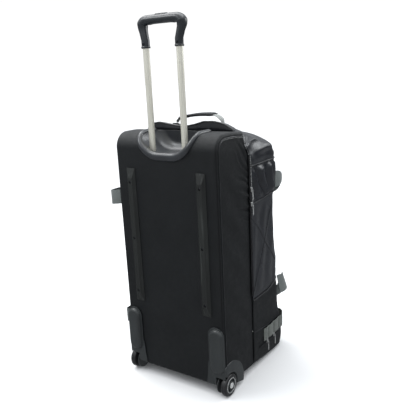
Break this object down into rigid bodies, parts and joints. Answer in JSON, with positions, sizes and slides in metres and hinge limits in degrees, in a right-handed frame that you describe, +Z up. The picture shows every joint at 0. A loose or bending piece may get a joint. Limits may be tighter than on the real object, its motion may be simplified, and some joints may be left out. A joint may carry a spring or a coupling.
{
  "type": "wheeled travel bag",
  "caption": "Large soft-sided wheeled travel bag standing upright, with an extending pull handle, skid rails, corner wheels and a zipped front lid.",
  "frame": {"origin": "on the floor, at the middle of the whole object's box in X and Y", "axes": "+X to the bag's right as seen from behind, +Y from the back panel with the rails to the front, +Z up along the pull handle"},
  "size_m": [0.4038, 0.4468, 1.0983],
  "materials": {
    "back_fabric": "matte",
    "shell_fabric": "satin",
    "webbing": "matte",
    "moulding": "satin",
    "rail_plastic": "satin",
    "rim_plastic": "gloss",
    "grip_plastic": "gloss",
    "tube_metal": "satin",
    "steel": "satin",
    "tyre": "matte",
    "board": "matte",
    "zipper": "matte"
  },
  "bodies": {
    "bag": {"axle_left": "steel", "axle_right": "steel", "back_panel": "back_fabric", "floor_panel": "moulding", "frame_sheet": "board", "front_bucket": "shell_fabric", "front_foot_left": "moulding", "front_foot_right": "moulding", "gusset_left": "back_fabric", "gusset_right": "back_fabric", "handle_cup": "moulding", "handle_cup_rim": "rim_plastic", "kick_plate_left": "moulding", "kick_plate_right": "moulding", "rail_screw_left_1": "steel", "rail_screw_left_2": "steel", "rail_screw_left_3": "steel", "rail_screw_right_1": "steel", "rail_screw_right_2": "steel", "rail_screw_right_3": "steel", "skid_rail_left": "rail_plastic", "skid_rail_right": "rail_plastic", "sleeve_bracket": "moulding", "strap_lower": "webbing", "strap_upper_side": "webbing", "top_panel": "back_fabric", "tube_sleeve_left": "tube_metal", "tube_sleeve_right": "tube_metal", "webbing_band": "webbing", "wheel_housing_left": "moulding", "wheel_housing_right": "moulding", "zipper_tape_tub": "zipper"},
    "lid": {"lid_shell": "shell_fabric", "strap_upper_front": "webbing", "zipper_tape_lid": "zipper", "haul_anchor_left": "webbing", "haul_anchor_right": "webbing"},
    "trolley": {"trolley_tube_left": "tube_metal", "trolley_tube_right": "tube_metal", "trolley_grip": "grip_plastic", "grip_screw_left": "steel", "grip_screw_right": "steel"},
    "release": {"release_button": "grip_plastic", "release_rod_left": "steel", "release_rod_right": "steel"},
    "haul_handle": {"haul_webbing": "webbing", "haul_grip": "back_fabric"},
    "wheel_left": {"wheel_tyre_left": "tyre", "wheel_hub_left": "moulding"},
    "wheel_right": {"wheel_tyre_right": "tyre", "wheel_hub_right": "moulding"},
    "main_upper_slider_body": {"main_upper_slider": "steel"},
    "main_upper_pull_body": {"main_upper_pull": "steel"},
    "main_lower_slider_body": {"main_lower_slider": "steel"},
    "main_lower_pull_body": {"main_lower_pull": "steel"},
    "pocket_rear_slider_body": {"pocket_rear_slider": "steel"},
    "pocket_rear_pull_body": {"pocket_rear_pull": "steel"},
    "pocket_front_slider_body": {"pocket_front_slider": "steel"},
    "pocket_front_pull_body": {"pocket_front_pull": "steel"}
  },
  "joints": [
    {"name": "lid_hinge", "type": "hinge", "parent": "bag", "child": "lid", "pos_m": [-0.1669, -0.0351, 0.5], "axis": [0, 0, 1], "range_deg": [0, 110]},
    {"name": "trolley_slide", "type": "slide", "parent": "bag", "child": "trolley", "axis": [0, 0, 1], "range_m": [-0.262, 0]},
    {"name": "release_press", "type": "slide", "parent": "trolley", "child": "release", "axis": [0, 0, -1], "range_m": [0, 0.0035], "stiffness_N_per_m": 300, "springref_m": -0.012},
    {"name": "haul_handle_swing", "type": "hinge", "parent": "lid", "child": "haul_handle", "pos_m": [0.0126, -0.0191, 0.78978], "axis": [1, 0, 0], "range_deg": [-60, 10], "stiffness_Nm_per_rad": 0.02},
    {"name": "wheel_left_spin", "type": "hinge", "parent": "bag", "child": "wheel_left", "pos_m": [-0.1584, -0.1864, 0.0345], "axis": [1, 0, 0], "continuous": true},
    {"name": "wheel_right_spin", "type": "hinge", "parent": "bag", "child": "wheel_right", "pos_m": [0.1836, -0.1864, 0.0345], "axis": [1, 0, 0], "continuous": true},
    {"name": "main_upper_slide", "type": "slide", "parent": "bag", "child": "main_upper_slider_body", "axis": [0, 0, 1], "range_m": [0, 0.08]},
    {"name": "main_upper_pull_swing", "type": "hinge", "parent": "main_upper_slider_body", "child": "main_upper_pull_body", "pos_m": [0.1996, -0.0351, 0.5982], "axis": [0, -1, 0], "range_deg": [0, 120]},
    {"name": "main_lower_slide", "type": "slide", "parent": "bag", "child": "main_lower_slider_body", "axis": [0, 0, 1], "range_m": [-0.26, 0]},
    {"name": "main_lower_pull_swing", "type": "hinge", "parent": "main_lower_slider_body", "child": "main_lower_pull_body", "pos_m": [0.1996, -0.0351, 0.5532], "axis": [0, -1, 0], "range_deg": [0, 120]},
    {"name": "pocket_rear_slide", "type": "slide", "parent": "bag", "child": "pocket_rear_slider_body", "axis": [0, 1, 0], "range_m": [-0.05, 0]},
    {"name": "pocket_rear_pull_swing", "type": "hinge", "parent": "pocket_rear_slider_body", "child": "pocket_rear_pull_body", "pos_m": [0.1968, 0.0539, 0.0642], "axis": [1, 0, 0], "range_deg": [-60, 60]},
    {"name": "pocket_front_slide", "type": "slide", "parent": "bag", "child": "pocket_front_slider_body", "axis": [0, 1, 0], "range_m": [0, 0.03]},
    {"name": "pocket_front_pull_swing", "type": "hinge", "parent": "pocket_front_slider_body", "child": "pocket_front_pull_body", "pos_m": [0.1968, 0.1029, 0.0642], "axis": [1, 0, 0], "range_deg": [-60, 60]}
  ]
}
